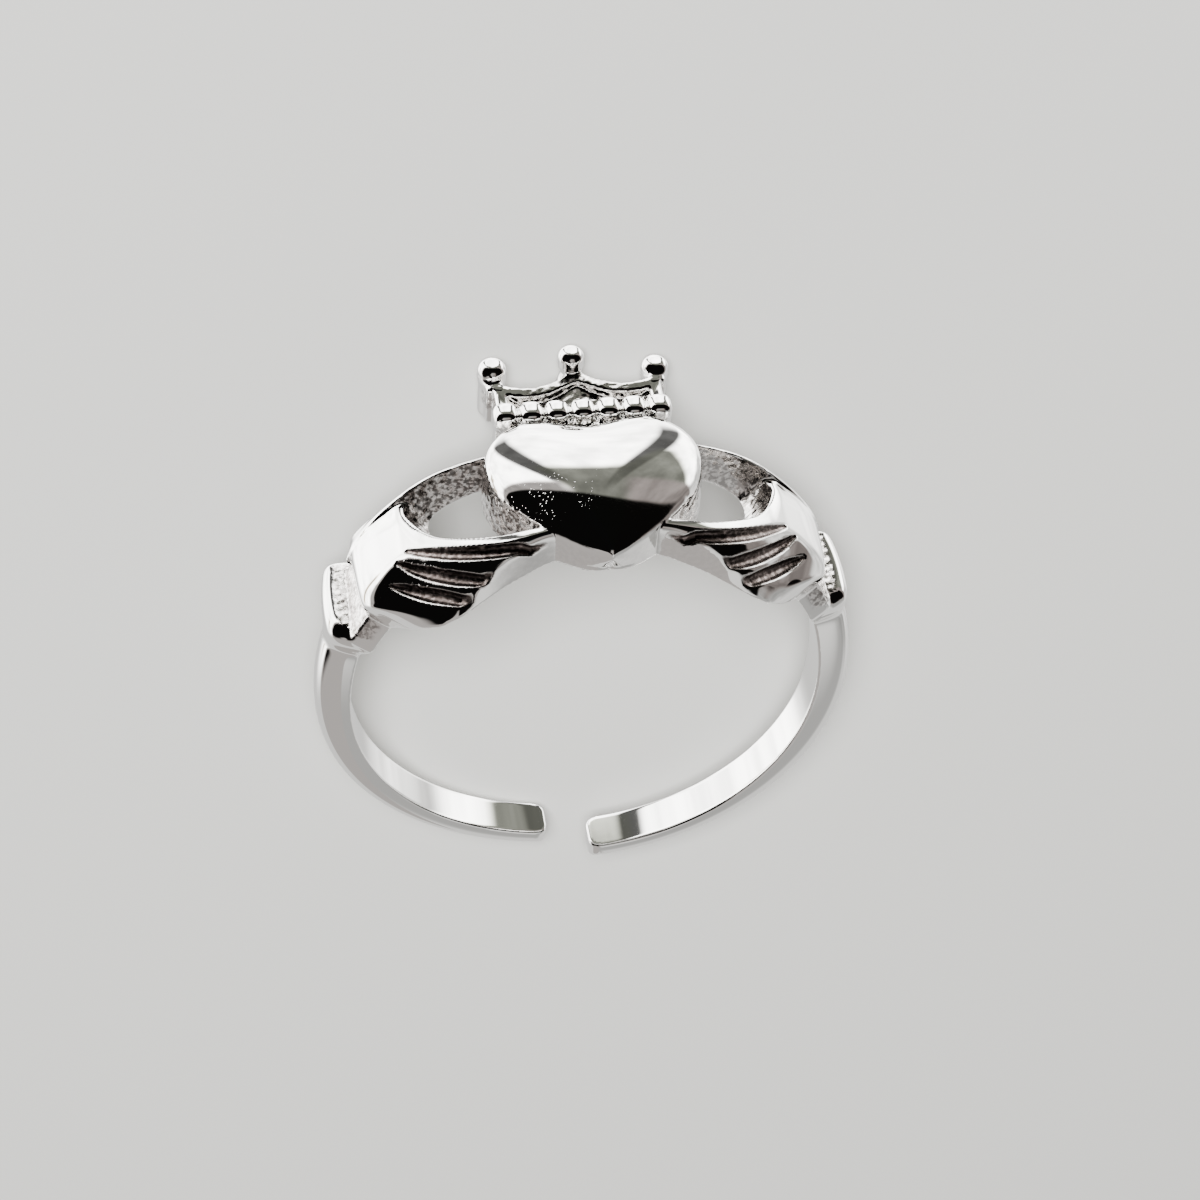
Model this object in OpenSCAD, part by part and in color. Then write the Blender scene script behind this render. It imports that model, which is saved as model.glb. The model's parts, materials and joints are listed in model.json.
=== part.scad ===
// Claddagh ring: two hands hold a crowned heart on an open, adjustable band.
// One cast silver piece, all sizes in millimetres and degrees.
//
// The ring is worked out upright first: X to the wearer's side, Y along the finger
// towards the crown, Z from the bore's centre up to the heart. Places round the band
// are given by their angle from the top. At the end the whole ring is laid on its side,
// where it rests on the three points of the crown and on one end of the band.

/* [Band] */
// Bore of the ring, where the finger goes
bore_d = 17; // [14:0.5:22]
// Thickness of the band beside the cuffs
band_t = 1.3; // [0.9:0.05:1.8]
// Thickness of the band at its two ends
band_end_t = 0.9; // [0.6:0.05:1.2]
// Width of the band beside the cuffs
band_w = 1.75; // [1.2:0.05:2.6]
// Width of the band at its two ends
band_end_w = 1.5; // [1:0.05:2.4]
// Opening between the two ends, measured along the bore
end_gap = 1.5; // [0.6:0.1:5]
// How far the opening's middle lies to one side of the ring's middle
gap_shift = 0.25; // [0:0.05:0.5]
// How far each end stands out of line: one to the back, the other to the front
end_offset = 0.42; // [0:0.02:0.8]
// How far the band stands back towards the crown where it meets the cuffs
band_setback = 0.62; // [0:0.02:1]
// Corner radius of the band's ends
end_round = 0.45; // [0.2:0.05:0.6]

/* [Cuffs] */
// Place of the cuff's rim round the ring, from the top
cuff_angle = 68; // [66:0.5:72]
// Length of the cuff's rim along the finger
cuff_w = 3.5; // [2.8:0.1:4.2]
// Rise of the cuff's rim above the bore
cuff_h = 1.55; // [1.35:0.05:1.9]
// Rise of the sunk wrist between the hand and the cuff
wrist_h = 0.85; // [0.6:0.05:1.1]

/* [Hands] */
// Place of the hand's heel round the ring, from the top
heel_angle = 58.5; // [56:0.5:60]
// Rise of the hands above the bore
hand_h = 1.6; // [1.3:0.05:1.9]
// Reach of the fingers from the band's middle, towards the heart's point
finger_reach = 3.0; // [2.6:0.05:3.4]
// Reach of the thumbs from the band's middle, towards the crown
thumb_reach = 2.95; // [2.7:0.05:3.3]
// Thickness of the thumb
thumb_w = 0.72; // [0.5:0.02:1]
// Depth of the grooves between the fingers
groove_depth = 0.4; // [0.2:0.05:0.6]
// Width of the grooves at the surface
groove_w = 0.42; // [0.25:0.05:0.6]

/* [Heart] */
// Width of the heart
heart_w = 7.4; // [6.8:0.1:8]
// Height of the heart from its point to the top of its lobes
heart_l = 6.5; // [6:0.1:7]
// Distance of the heart's point from the band's middle
heart_point = 3.05; // [2.8:0.05:3.3]
// Rise of the heart's rim above the top of the bore
heart_rim_h = 1.1; // [0.9:0.05:1.6]
// Rise of the heart's puffed face above its rim
heart_dome_h = 1.0; // [0.5:0.05:1.4]

/* [Crown] */
// Number of beads along the foot of the crown
bead_count = 7; // [5:1:9]
// Diameter of a bead
bead_d = 0.88; // [0.7:0.02:1]
// Length of the bead row
row_w = 6.3; // [5.6:0.1:7]
// Distance of the bead row from the band's middle
row_back = 3.95; // [3.85:0.05:4.2]
// Rise of the bead row's rail above the top of the bore
rail_h = 0.9; // [0.7:0.05:1.1]
// Rise of the crown's sunk floor above the top of the bore
floor_h = 0.6; // [0.4:0.05:0.7]
// Rise of the crown's scalloped rim above the top of the bore
rim_h = 1.05; // [0.9:0.05:1.3]
// Thickness of the crown's scalloped rim
rim_t = 0.4; // [0.3:0.02:0.6]
// Distance from one outer point of the crown to the other
points_span = 5.88; // [5.4:0.1:6.4]
// Reach of the outer points' balls from the band's middle
point_reach = 6.16; // [5.9:0.02:6.5]
// Distance of the balls' centres from the bore's axis, less the bore's radius
point_h = 1.4; // [1.2:0.05:1.7]
// Diameter of the balls on the outer points
point_d = 0.98; // [0.8:0.02:1.1]
// Diameter of the ball on the middle point
mid_point_d = 0.84; // [0.7:0.02:1]

/* [Hidden] */

silver = [0.82, 0.82, 0.80];
bore_r = bore_d / 2;
// Solids reach this far into the bore before it is cut
sink = 0.8;
// Round shapes are drawn with this many sides
$fn = 48;

// A place given by its angle from the top, its place along the finger and its radius
function place(a, y, r) = [r * sin(a), y, r * cos(a)];

// Bars are cut off slightly askew at their ends, by this many degrees for each millimetre
skew = 1;

// Smooth value of column c between the rows of a table, at share s of its first column
function span_of(t, s, i = 0) = i >= len(t) - 2 || s < t[i + 1][0] ? i : span_of(t, s, i + 1);
function cubic(p, u) =
    p[1] + 0.5 * u * (p[2] - p[0] + u * (2 * p[0] - 5 * p[1] + 4 * p[2] - p[3]
    + u * (3 * (p[1] - p[2]) + p[3] - p[0])));
function smooth(t, c, s) =
    let (i = span_of(t, s), last = len(t) - 1)
    let (u = (s - t[i][0]) / (t[i + 1][0] - t[i][0]))
    cubic([t[max(0, i - 1)][c], t[i][c], t[i + 1][c], t[min(last, i + 2)][c]], u);

// Skin over a list of closed sections that all have the same number of points
module skin(sections) {
    n = len(sections[0]);
    m = len(sections);
    sides = [for (i = [0 : m - 2], j = [0 : n - 1])
        let (a = i * n + j, b = i * n + (j + 1) % n)
        each [[a, b, b + n], [a, b + n, a + n]]];
    ends = [for (j = [1 : n - 2]) each
        [[0, j + 1, j], [(m - 1) * n, (m - 1) * n + j, (m - 1) * n + j + 1]]];
    polyhedron(points = [for (s = sections) each s], faces = concat(sides, ends));
}

// Both hands, cuffs and halves of the head are mirror images
module both_sides() {
    children();
    mirror([1, 0, 0]) children();
}

// Band: two half hoops that taper from the cuffs to the rounded ends

band_from = cuff_angle + 3;
function arc(length) = length / bore_r * 180 / PI;
function band_to(side) = 180 - arc(end_gap / 2 - side * gap_shift);
round_angle = arc(end_round);
// Share of the way down the ring's height, which the taper and the offset follow
function down(a) = max(0, (cos(band_from + 3) - cos(a)) / (cos(band_from + 3) + 1));
// How far the rounded corners draw the edges in, at share u of the rounded length
function round_in(u) = end_round * (1 - sqrt(1 - 0.96 * u * u));
// Middle of the band along the finger, and half its width, at an angle
function band_mid(a, side) = band_setback * pow(1 - down(a), 4) - side * end_offset * down(a);
function band_half(a) = (band_w + (band_end_w - band_w) * down(a)) / 2;
function band_rise(a) = band_t + (band_end_t - band_t) * pow(down(a), 2);
// D-shaped section: flat towards the finger, crowned outside
function band_section(a, side, u = 0, lean = 0) =
    let (mid = band_mid(a, side), half = band_half(a) - round_in(u), t = band_rise(a))
    [for (p = [[-1, -1], [-1, 0.35], [-0.82, 0.78], [-0.42, 0.97], [0, 1],
               [0.42, 0.97], [0.82, 0.78], [1, 0.35], [1, -1]])
        place(side * a + lean * p[0] * half, mid + p[0] * half,
              bore_r + (p[1] < 0 ? -sink : p[1] * t))];
function band_half_hoop(side) =
    let (to = band_to(side) - round_angle)
    concat([for (i = [0 : 13]) band_section(band_from + (to - band_from) * i / 13, side, 0,
                                            i == 0 ? skew : 0)],
           [for (u = [0.5, 0.85, 1])
               band_section(to + round_angle * u, side, u, u * u * skew / 2)]);
function flip(sections) = [for (s = sections) [for (j = [len(s) - 1 : -1 : 0]) s[j]]];

module band() {
    skin(band_half_hoop(1));
    skin(flip(band_half_hoop(-1)));
}

// Cuff: a collar whose face leans towards the hand, its rim the highest edge, which then
// runs down to the band. Each row: place round the ring and lean of the section as shares
// of the cuff's length, front edge at the bore, front edge at the top and back edge as
// shares of the cuff's width, and share of its rise

cuff_mid = cuff_w / 2 - 0.57;
cuff_len = 8;
cuff_rows = [
    [-0.60, 0.40, 0.60, 0.43, 0.49, 0.84],
    [-0.28, 0.27, 0.57, 0.50, 0.51, 0.99],
    [0.05, 0.05, 0.53, 0.50, 0.50, 1.00],
    [0.45, 0.00, 0.46, 0.42, 0.34, 0.93],
    [1.00, 0.00, 0.41, 0.40, 0.12, 0.82]];
function cuff_section(row) =
    let (a = cuff_angle + row[0] * cuff_len, lean = row[1] * cuff_len, h = row[5] * cuff_h)
    let (low = cuff_mid - row[2] * cuff_w, front = cuff_mid - row[3] * cuff_w,
         back = cuff_mid + row[4] * cuff_w)
    [for (p = [[low, -1], [low, 0.12], [front, 0.8], [front + 0.07, 0.93], [front + 0.22, 1],
               [back - 0.22, 1], [back - 0.07, 0.93], [back, 0.8], [back, -1]])
        place(a + lean * max(0, p[1]) + skew * abs(row[0]) * (p[0] - cuff_mid), p[0],
              bore_r + (p[1] < 0 ? -sink : p[1] * h))];

module cuff() {
    skin([for (row = cuff_rows) cuff_section(row)]);
}

// Sunk wrist between the hand's heel and the cuff
module wrist() {
    front = cuff_mid - 0.62 * cuff_w;
    back = cuff_mid + 0.36 * cuff_w;
    skin([for (a = [heel_angle - 6, heel_angle - 2, cuff_angle - 4, cuff_angle - 1])
        [for (p = [[0, -1], [0.02, 0.2], [0.1, 0.7], [0.25, 1], [0.88, 1], [0.98, 0.7], [1, -1]])
            place(a + skew * p[0] * (back - front), front + p[0] * (back - front),
                  bore_r + (p[1] < 0 ? -sink : p[1] * wrist_h))]]);
}

// Hand. The fingers, with the back of the hand, are one rounded bar, and the thumb is
// another. They part round an opening that is cut right through, and both end in the heart.
// Each row: share of the way from the heart to the heel, front edge as a share of the
// fingers' reach, back edge as a share of the thumbs' reach, share of the hand's rise

finger_from = asin(0.28 * heart_w / bore_d);
thumb_from = asin(0.60 * heart_w / bore_d);
finger_rows = [
    [0.00, -0.66, -0.50, 0.78],
    [0.12, -0.69, -0.51, 0.83],
    [0.22, -0.77, -0.52, 0.88],
    [0.32, -0.84, -0.45, 0.90],
    [0.42, -0.92, -0.33, 0.92],
    [0.50, -0.97, -0.18, 0.93],
    [0.57, -0.99, 0.05, 0.94],
    [0.61, -0.98, 0.25, 0.94],
    [0.645, -0.97, 0.56, 0.95],
    [0.67, -0.95, 0.80, 0.96],
    [0.73, -0.87, 0.85, 0.97],
    [0.84, -0.67, 0.83, 1.00],
    [0.93, -0.46, 0.78, 0.97],
    [1.00, -0.34, 0.62, 0.80]];
thumb_rows = [
    [0.00, 0.90, 0.98, 0.92],
    [0.25, 0.98, 1.00, 0.96],
    [0.45, 1.00, 1.00, 1.00],
    [0.62, 0.97, 1.00, 1.00],
    [0.80, 0.92, 1.00, 0.98],
    [1.00, 0.80, 0.92, 0.90]];
// Section of the fingers: a rounded front, a crowned top and an upright wall at the opening
finger_shape = [[0.05, -1], [0.00, 0.30], [0.03, 0.55], [0.12, 0.77], [0.26, 0.91],
                [0.45, 0.98], [0.70, 1.00], [0.92, 0.98], [1.00, 0.90], [1.00, -1]];
function finger_angle(s) = finger_from + s * (heel_angle - finger_from);
// Both bars of the hand are square to the band in their middle and askew at their ends
function hand_skew(s) = skew * pow(2 * s - 1, 4);
function hand_place(a, s, y, r) = place(a + hand_skew(s) * y, y, r);
function finger_front(s) = smooth(finger_rows, 1, s) * finger_reach;
function finger_back(s) = smooth(finger_rows, 2, s) * thumb_reach;
function finger_rise(s) = smooth(finger_rows, 3, s) * hand_h;
function finger_section(s) =
    let (front = finger_front(s), back = finger_back(s), h = finger_rise(s))
    [for (p = finger_shape)
        hand_place(finger_angle(s), s, front + p[0] * (back - front),
                   bore_r + (p[1] < 0 ? -sink : p[1] * h))];
// Section of the thumb: an upright wall at the opening, its crest there, a sloped outside
thumb_shape = [[0, -1], [0, 0.92], [0.12, 1], [0.45, 0.93], [0.82, 0.66], [1, 0.35], [1, -1]];
function thumb_section(s) =
    let (back = smooth(thumb_rows, 1, s) * thumb_reach, h = smooth(thumb_rows, 3, s) * hand_h)
    let (front = back - thumb_w * smooth(thumb_rows, 2, s))
    [for (p = thumb_shape)
        hand_place(thumb_from + s * (heel_angle - thumb_from), s, front + p[0] * (back - front),
                   bore_r + (p[1] < 0 ? -sink : p[1] * h))];

// A place on the fingers' surface: share of the way to the heel, and count of shape points
// from the foot of the front, given along the finger and as a radius
function on_shape(t) = let (i = floor(t), p = finger_shape[i])
    p + (t - i) * (finger_shape[i + 1] - p);
function finger_skin(s, t) = let (p = on_shape(t), front = finger_front(s))
    [front + p[0] * (finger_back(s) - front), bore_r + p[1] * finger_rise(s)];

// Grooves between the fingers, each a table of places on the fingers' surface from its
// end at the heart to its end at the knuckles
grooves = [
    [[0.14, 2.9], [0.27, 4.1], [0.39, 5.15], [0.48, 5.5], [0.59, 5.65], [0.67, 5.3]],
    [[0.33, 1.9], [0.42, 2.8], [0.515, 4.15], [0.62, 4.75], [0.705, 4.9]],
    [[0.46, 1.4], [0.54, 2.45], [0.64, 3.1], [0.69, 3.5], [0.765, 4.05]]];

// A trough cut into the fingers, pointed and shallow at both ends
module groove(rows) {
    steps = 8;
    from = rows[0][0];
    to = rows[len(rows) - 1][0];
    skin([for (i = [0 : steps])
        let (s = from + (to - from) * i / steps, a = finger_angle(s))
        let (swell = pow(sin(180 * i / steps), 0.7))
        let (q = finger_skin(s, smooth(rows, 1, s)))
        let (core = [(finger_front(s) + finger_back(s)) / 2, bore_r + 0.2 * hand_h])
        let (inward = (core - q) / norm(core - q), side = [-inward[1], inward[0]])
        let (d = groove_depth * (0.1 + 0.9 * swell), w = groove_w * (0.1 + 0.9 * swell) / 2)
        [for (p = [[1, -0.2], [0.45, d], [-0.45, d], [-1, -0.2]])
            let (at = q + side * w * p[0] + inward * p[1]) hand_place(a, s, at[0], at[1])]]);
}

module hand() {
    difference() {
        union() {
            skin([for (i = [0 : 24]) finger_section(i / 24)]);
            skin([for (i = [0 : 12]) thumb_section(i / 12)]);
        }
        for (rows = grooves) groove(rows);
    }
}

// Heart: a table for its half outline, shares of half its width and of its length from
// the point up, then a puffed face that falls away to the rim in every direction

heart_half = [
    [0.00, 0.00, 0.000],
    [0.10, 0.20, 0.060],
    [0.24, 0.50, 0.195],
    [0.38, 0.76, 0.345],
    [0.50, 0.93, 0.490],
    [0.60, 1.00, 0.650],
    [0.70, 0.965, 0.810],
    [0.79, 0.80, 0.935],
    [0.88, 0.52, 1.000],
    [0.94, 0.26, 0.970],
    [1.00, 0.00, 0.925]];
heart_top = bore_r + heart_rim_h;
heart_steps = 20;
heart_side = [for (i = [0 : heart_steps])
    [smooth(heart_half, 1, i / heart_steps) * heart_w / 2,
     smooth(heart_half, 2, i / heart_steps) * heart_l - heart_point]];
heart_outline = concat(heart_side,
    [for (i = [heart_steps - 1 : -1 : 1]) [-heart_side[i][0], heart_side[i][1]]]);
// The face's highest place, as a share of the heart's length from its point
heart_peak = [0, 0.56 * heart_l - heart_point];
function heart_ring(share, z) = [for (i = [len(heart_outline) - 1 : -1 : 0])
    let (q = heart_peak + share * (heart_outline[i] - heart_peak)) [q[0], q[1], z]];
function puff(share) = heart_dome_h * pow(1 - pow(share, 2.2), 0.75);
heart_shares = [1, 0.97, 0.9, 0.78, 0.6, 0.4, 0.2, 0.06];

module heart() {
    skin(concat([heart_ring(1, bore_r * 0.8)],
        [for (s = heart_shares) heart_ring(s, heart_top + puff(s))]));
}

// Crown: a sunk floor inside a scalloped rim, a beaded rail at its foot and three points

scallop_r = 2.0;
rail_w = 0.78 * bead_d;
rail_top = bore_r + rail_h;
rim_top = bore_r + rim_h;
rim_back = row_back + 1.4;
point_x = points_span / 2;
// Middle of each scallop's circle
scallop_x = 0.6 * point_x;
scallop_y = rim_back + scallop_r;
// Foot of the heart and of the crown's walls, inside the bore
foot = bore_r * 0.8;

// A block that stands on the bore, given by its corners seen from above and its top
module post(x0, x1, y0, y1, top) {
    translate([x0, y0, foot]) cube([x1 - x0, y1 - y0, top - foot]);
}

module scallop(r) {
    both_sides() translate([scallop_x, scallop_y, foot - 1])
        cylinder(r = r, h = rim_top - foot + 2);
}

module crown_base() {
    reach = point_reach - 0.1;
    difference() {
        post(-point_x, point_x, row_back, reach, rim_top);
        scallop(scallop_r);
        // The sunk floor, bounded by the rim and the side struts
        difference() {
            post(rim_t - point_x, point_x - rim_t, row_back, reach, rim_top + 1);
            translate([0, 0, foot - bore_r]) post(-point_x, point_x, row_back - 1, reach, bore_r);
            translate([0, 0, -1]) post(-point_x, point_x, row_back - 1, reach, bore_r + floor_h + 1);
            scallop(scallop_r + rim_t);
        }
    }
}

// The rail of beads, and the low web that joins it to the heart
module bead_rail() {
    half = row_w / 2;
    pitch = row_w / bead_count;
    post(-0.88 * point_x, 0.88 * point_x, row_back - 1.6, row_back, bore_r + floor_h);
    post(-half + 0.05, half - 0.05, row_back - rail_w / 2, row_back + rail_w / 2, rail_top);
    for (i = [0 : bead_count - 1])
        translate([(i + 0.5) * pitch - half, row_back, rail_top]) sphere(d = bead_d);
}

// One point of the crown: an upright bar that ends in a ball
module point(centre, d, from) {
    w = d * 0.86;
    translate(centre) sphere(d = d);
    translate([centre[0], centre[1], foot]) cylinder(d = w, h = centre[2] - foot);
    post(centre[0] - 0.35 * w, centre[0] + 0.35 * w, from, centre[1], rim_top);
}

module crown() {
    crown_base();
    bead_rail();
    both_sides() point(outer_ball, point_d, rim_back);
    point(mid_ball, mid_point_d, rim_back + 0.2);
}

// How the ring lies: the floor touches the outer points' balls and the band's lowest end.
// The middle point reaches just as far, so that all three points stand on the floor

point_r = bore_r + point_h;
outer_ball = [point_x, point_reach, sqrt(point_r * point_r - point_x * point_x)];
function towards_floor(tilt) = [0, cos(tilt), -sin(tilt)];
hoop_points = [for (s = band_half_hoop(-1)) each s];
function lowest(n) = let (m = max([for (p = hoop_points) p * n]))
    [for (p = hoop_points) if (p * n > m - 0.0001) p][0];
function tilt_on(end) =
    let (dy = outer_ball[1] - end[1], dz = outer_ball[2] - end[2])
    acos(-point_d / 2 / norm([dy, dz])) - atan2(dz, dy);
first_tilt = tilt_on(lowest(towards_floor(15)));
tilt = tilt_on(lowest(towards_floor(first_tilt)));
floor_at = outer_ball * towards_floor(tilt) + point_d / 2;
mid_ball = [0, (floor_at - mid_point_d / 2 + sin(tilt) * point_r) / cos(tilt), point_r];

module ring() {
    color(silver) rotate([tilt - 90, 0, 0]) difference() {
        union() {
            band();
            both_sides() {
                cuff();
                wrist();
                hand();
            }
            heart();
            crown();
        }
        rotate([90, 0, 0]) cylinder(d = bore_d, h = 30, center = true);
    }
}

ring();
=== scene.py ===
"""Claddagh ring: one polished silver casting, lying on a pale floor.

The visible mesh is worked out as one implicit surface in the ring's own upright frame (X to
the side, Y along the finger towards the crown, Z from the bore's centre to the heart), in
millimetres, and is then laid down as the CAD solid lies and scaled to metres.
"""

import json
import math

import bpy
import numpy as np
from mathutils import Matrix, Vector


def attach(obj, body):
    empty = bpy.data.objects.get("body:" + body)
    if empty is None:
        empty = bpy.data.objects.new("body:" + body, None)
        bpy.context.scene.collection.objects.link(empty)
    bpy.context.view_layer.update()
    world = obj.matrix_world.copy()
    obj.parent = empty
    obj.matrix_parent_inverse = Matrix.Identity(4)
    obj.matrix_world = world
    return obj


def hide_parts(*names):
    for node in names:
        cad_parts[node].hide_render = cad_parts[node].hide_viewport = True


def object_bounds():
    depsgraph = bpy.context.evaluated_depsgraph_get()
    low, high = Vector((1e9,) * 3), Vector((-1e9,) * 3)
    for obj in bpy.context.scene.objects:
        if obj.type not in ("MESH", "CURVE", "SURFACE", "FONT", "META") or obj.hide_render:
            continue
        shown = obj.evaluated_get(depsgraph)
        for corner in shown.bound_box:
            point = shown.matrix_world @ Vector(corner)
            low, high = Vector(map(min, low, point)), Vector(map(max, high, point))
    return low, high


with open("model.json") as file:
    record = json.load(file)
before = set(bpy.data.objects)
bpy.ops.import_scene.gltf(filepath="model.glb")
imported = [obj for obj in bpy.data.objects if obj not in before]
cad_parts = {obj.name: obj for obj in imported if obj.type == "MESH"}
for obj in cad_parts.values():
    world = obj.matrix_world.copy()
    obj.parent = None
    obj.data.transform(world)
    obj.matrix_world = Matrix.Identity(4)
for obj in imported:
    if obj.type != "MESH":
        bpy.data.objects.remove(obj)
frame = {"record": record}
cad_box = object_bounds()

MM = 0.001

# Sizes, as in part.scad: lengths in millimetres, angles in degrees from the top of the ring

BORE_R = 8.5
BAND_T, BAND_END_T = 1.3, 0.9
BAND_W, BAND_END_W = 1.75, 1.5
END_GAP, GAP_SHIFT, END_OFFSET, END_ROUND = 1.5, 0.25, 0.42, 0.45
BAND_SETBACK = 0.62
CUFF_ANGLE, CUFF_W, CUFF_H = 68.0, 3.5, 1.55
WRIST_H, HEEL_ANGLE = 0.85, 58.5
HAND_H, FINGER_REACH, THUMB_REACH, THUMB_W = 1.6, 3.0, 2.95, 0.72
GROOVE_W = 0.42
HEART_W, HEART_L, HEART_POINT, HEART_RIM_H, HEART_DOME_H = 7.4, 6.5, 3.05, 1.1, 1.0
BEAD_COUNT, BEAD_D, ROW_W, ROW_BACK = 7, 0.88, 6.3, 3.95
RAIL_H, FLOOR_H, RIM_H, RIM_T = 0.9, 0.6, 1.05, 0.4
POINTS_SPAN, POINT_REACH, POINT_H, POINT_D, MID_POINT_D = 5.88, 6.16, 1.4, 0.98, 0.84

# Places and sizes that only the visible mesh needs

# How far the cuffs reach to the front of the bore's centre, and along the band
CUFF_FRONT, CUFF_LEN = -0.57, 1.5
CUFF_MID = CUFF_W / 2 + CUFF_FRONT
# Shares of its width that a cuff reaches from its middle: at its foot, at its rim, and at
# its front and back where it runs out into the band
CUFF_FOOT, CUFF_RIM, CUFF_END, CUFF_END_BACK = 0.655, 0.50, 0.36, 0.06
# The fingers and the thumbs start at these shares of the heart's width
FINGER_ROOT, THUMB_ROOT = 0.28, 0.60
FINGER_FROM = math.degrees(math.asin(FINGER_ROOT * HEART_W / BORE_R / 2))
THUMB_FROM = math.degrees(math.asin(THUMB_ROOT * HEART_W / BORE_R / 2))
# The fingers start to slope at this share of their height
KNUCKLE_H = 0.985
# The troughs between the fingers never run lower than this: angle from the top and height
# above the bore
TROUGH_ANGLES, TROUGH_H = (24.0, 33.0), (0.95, 0.45)
GROOVE_STEPS = 14
HEART_TOP = BORE_R + HEART_RIM_H
BEAD_Y = ROW_BACK + 0.05
RIM_BACK, SCALLOP_R = ROW_BACK + 1.4, 2.0
# The head's walls are carried down to this height, and the bore then cuts them off
FOOT = BORE_R * 0.8
# Radii at which lengths along the cuffs and round the hands' openings are measured
CUFF_ARC_R, OPENING_ARC_R = 9.3, 9.6
# Exponents of the band's section, across it and upwards
BAND_ACROSS, BAND_UP = 2.6, 3.6
# Fillets where the parts join, and the rounding where they are cut
FILLET = {
    "band end": 0.16, "thumb": 0.25, "opening": 0.12, "groove": 0.14, "wrist": 0.16,
    "cuff": 0.14, "band": 0.3, "heart": 0.10, "crown": 0.08, "bore": 0.16,
}
# Height of the cast skin's grain
GRAIN_H = 0.02
# Distance given to places that a part doesn't reach
FAR = 1.2
# The surface is first looked for on a grid with one line in this many
COARSE = 4

# How the ring lies: the stored bore's axis gives the tilt
bore_axis = frame["record"]["mounts"][0]["axis"]
TILT = math.atan2(-bore_axis[1], bore_axis[2])
LAY = Matrix.Rotation(TILT - math.pi / 2, 3, "X")

# Tables of sections. The first column is a share of the way along; lengths are shares of
# the named sizes, as in part.scad

# share from the heart to the heel, front edge, back edge, rise
FINGER_ROWS = [
    (0.00, -0.66, -0.50, 0.78),
    (0.12, -0.69, -0.51, 0.83),
    (0.22, -0.77, -0.52, 0.88),
    (0.32, -0.84, -0.45, 0.90),
    (0.42, -0.92, -0.33, 0.92),
    (0.50, -0.97, -0.18, 0.93),
    (0.57, -0.99, 0.05, 0.94),
    (0.61, -0.98, 0.25, 0.94),
    (0.645, -0.97, 0.56, 0.95),
    (0.67, -0.95, 0.80, 0.96),
    (0.73, -0.87, 0.85, 0.97),
    (0.84, -0.67, 0.83, 1.00),
    (0.93, -0.46, 0.78, 0.99),
    (1.00, -0.34, 0.62, 0.96),
]
# share from the heart to the heel, back edge, thickness, rise
THUMB_ROWS = [
    (0.00, 0.90, 0.98, 0.92),
    (0.25, 0.98, 1.00, 0.96),
    (0.45, 1.00, 1.00, 1.00),
    (0.62, 0.97, 1.00, 1.00),
    (0.80, 0.92, 1.00, 0.98),
    (1.00, 0.80, 0.92, 0.90),
]
# share round the half outline, share of the half width, share of the length from the point
HEART_HALF = [
    (0.00, 0.00, 0.000),
    (0.10, 0.20, 0.060),
    (0.24, 0.50, 0.195),
    (0.38, 0.76, 0.345),
    (0.50, 0.93, 0.490),
    (0.60, 1.00, 0.650),
    (0.70, 0.965, 0.810),
    (0.79, 0.80, 0.935),
    (0.88, 0.52, 1.000),
    (0.94, 0.26, 0.970),
    (1.00, 0.00, 0.925),
]
# Knuckle line, below which the fingers slope to the front: angle from the top, place along
# the finger, slope in degrees
KNUCKLES = [
    (7.0, -1.70, 42.0), (16.0, -1.90, 42.0), (21.0, -1.92, 42.0), (27.0, -1.72, 40.0),
    (32.0, -1.34, 35.0), (37.0, -0.88, 30.0), (40.5, -0.58, 28.0), (44.0, -0.48, 28.0),
    (48.0, -0.62, 28.0), (53.0, -0.66, 28.0), (60.0, -0.60, 28.0),
]
# Width of the steeper facet along the fingers' front: angle from the top and width
FRONT_FACET = [(7.0, 0.10), (24.0, 0.10), (33.0, 0.26), (40.0, 0.45), (50.0, 0.42), (60.0, 0.32)]
# Rim of the opening between the fingers and the thumb: angle from the top and place along
# the finger, from the heart round the palm and back along the thumb
OPENING = [
    (6.0, -1.46), (12.0, -1.49), (16.0, -1.51), (19.0, -1.51), (22.0, -1.42), (25.0, -1.24),
    (28.0, -1.01), (31.0, -0.71), (34.0, -0.32), (36.7, 0.22), (38.6, 0.75), (40.0, 1.25),
    (40.7, 1.65), (40.3, 2.00), (38.9, 2.20), (36.5, 2.27), (33.0, 2.29), (27.0, 2.25),
    (21.0, 2.20), (14.0, 2.14), (6.0, 2.10),
]
# Grooves between the fingers: angle from the top and place along the finger
GROOVES = [
    [(13.0, -2.04), (16.3, -2.12), (20.9, -2.06), (26.3, -1.81), (31.5, -1.39), (36.6, -0.83),
     (40.9, -0.30)],
    [(24.0, -2.54), (27.0, -2.52), (31.0, -2.22), (36.0, -1.68), (40.8, -1.00), (43.6, -0.51)],
    [(30.2, -2.82), (32.2, -2.79), (36.0, -2.42), (40.4, -1.90), (44.3, -1.38), (46.9, -1.02)],
]


def smooth_column(rows, column):
    """Smooth curve through one column of a table, as a function of the first column."""
    at = np.array([r[0] for r in rows])
    value = np.array([r[column] for r in rows])
    slope = np.gradient(value, at)

    def curve(x):
        i = np.clip(np.searchsorted(at, x) - 1, 0, len(at) - 2)
        span = at[i + 1] - at[i]
        u = np.clip((x - at[i]) / span, 0, 1)
        rest = 1 - u
        return (
            (value[i] * (1 + 2 * u) + slope[i] * span * u) * rest * rest
            + (value[i + 1] * (3 - 2 * u) - slope[i + 1] * span * rest) * u * u
        )

    return curve


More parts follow.
